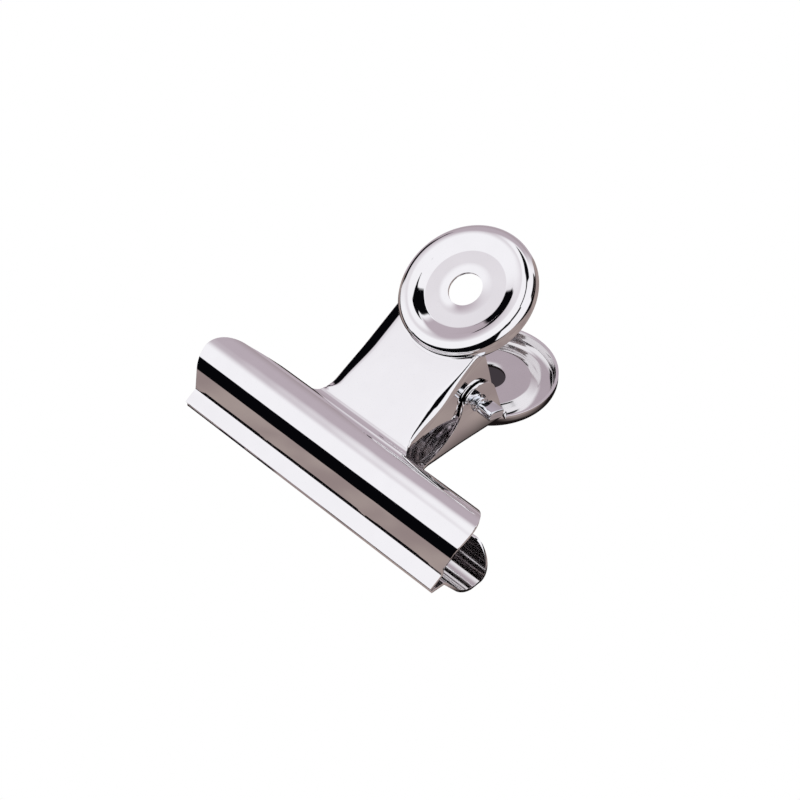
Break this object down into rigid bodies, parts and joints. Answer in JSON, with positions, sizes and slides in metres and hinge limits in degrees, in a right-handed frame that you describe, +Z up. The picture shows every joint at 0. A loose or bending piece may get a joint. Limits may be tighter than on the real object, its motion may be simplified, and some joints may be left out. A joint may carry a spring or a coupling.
{
  "type": "metal clip",
  "caption": "Sprung sheet metal clip with long rolled jaws, round thumb discs and a cross pin that the two plates rock on.",
  "frame": {"origin": "bottom centre of the bounding box: on the surface that the clip lies on, under the middle of its footprint", "axes": "+X along the jaw, from the pin's domed head to its staked end; +Y from the jaw's lips to the thumb discs; +Z up from the surface"},
  "size_m": [0.0658, 0.058, 0.0335],
  "materials": {
    "plate": "bright nickel plate, polished",
    "pin": "bright plate over turned steel",
    "spring": "drawn spring wire"
  },
  "bodies": {
    "back": {"back_plate": "plate", "pivot_pin": "pin", "torsion_spring": "spring"},
    "front": {"front_plate": "plate"}
  },
  "joints": [
    {"name": "jaw_hinge", "type": "hinge", "parent": "back", "child": "front", "pos_m": [-0.0014, 0.00339, 0.01311], "axis": [-1, 0, 0], "range_deg": [0, 45], "stiffness_Nm_per_rad": 0.2, "springref_deg": -57.3, "deforming": ["torsion_spring"]}
  ]
}
